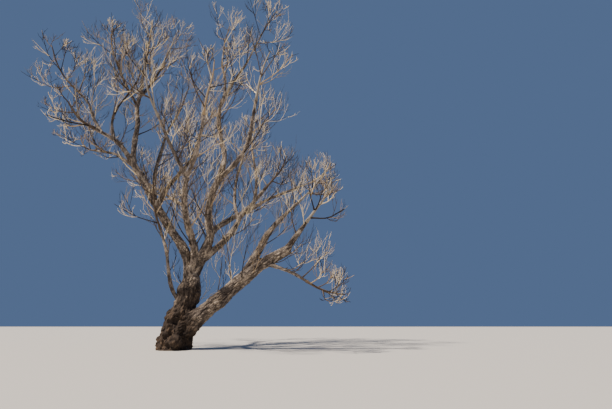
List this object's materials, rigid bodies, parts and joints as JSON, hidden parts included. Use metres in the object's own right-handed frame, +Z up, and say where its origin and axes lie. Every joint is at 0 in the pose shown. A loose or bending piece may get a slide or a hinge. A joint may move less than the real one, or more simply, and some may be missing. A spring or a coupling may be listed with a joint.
{
  "type": "dead tree",
  "caption": "Whole dead tree with no leaves: a short stout trunk that forks low, crooked spreading boughs, and masses of stubby upturned twigs.",
  "frame": {"origin": "middle of the flat cut under the trunk, at ground level", "axes": "+Z up along the tree's height; -Y towards the side the picture was taken from; +X to the right in that view, the way the lowest bough reaches"},
  "size_m": [8.0313, 6.951, 10.4423],
  "materials": {
    "bark": "rough furrowed dry bark",
    "twig_wood": "dry weathered twigs"
  },
  "bodies": {
    "root": {"trunk": "bark", "back_left_bough": "bark", "back_left_outer_bough": "bark", "back_left_rising_bough": "bark", "back_right_bough": "bark", "back_right_outer_bough": "bark", "back_right_rising_bough": "bark", "front_bough": "bark", "left_bough": "bark", "left_inner_bough": "bark", "left_low_bough": "bark", "left_outer_bough": "bark", "left_rising_bough": "bark", "low_right_bough": "bark", "low_right_hooked_bough": "bark", "low_right_rising_bough": "bark", "low_right_tip_bough": "bark", "middle_bough": "bark", "right_bough": "bark", "right_rising_bough": "bark", "upright_bough": "bark", "upright_right_bough": "bark", "upright_rising_bough": "bark", "front_left_branch": "bark", "front_right_branch": "bark", "left_mid_branch": "bark", "left_outer_rising_branch": "bark", "left_top_branch": "bark", "left_top_far_branch": "bark", "left_top_near_branch": "bark", "low_left_branch": "bark", "upright_top_branch": "bark", "upright_top_right_branch": "bark", "back_left_outer_twigs": "twig_wood", "back_left_rising_twigs": "twig_wood", "back_right_outer_twigs": "twig_wood", "back_right_rising_twigs": "twig_wood", "front_left_twigs": "twig_wood", "front_right_twigs": "twig_wood", "left_inner_twigs": "twig_wood", "left_low_twigs": "twig_wood", "left_mid_twigs": "twig_wood", "left_outer_rising_twigs": "twig_wood", "left_outer_twigs": "twig_wood", "left_top_far_twigs": "twig_wood", "left_top_near_twigs": "twig_wood", "left_top_twigs": "twig_wood", "low_left_twigs": "twig_wood", "low_right_hooked_twigs": "twig_wood", "low_right_rising_twigs": "twig_wood", "low_right_tip_twigs": "twig_wood", "middle_twigs": "twig_wood", "right_rising_twigs": "twig_wood", "right_twigs": "twig_wood", "upright_right_twigs": "twig_wood", "upright_top_right_twigs": "twig_wood", "upright_top_twigs": "twig_wood"}
  },
  "joints": []
}
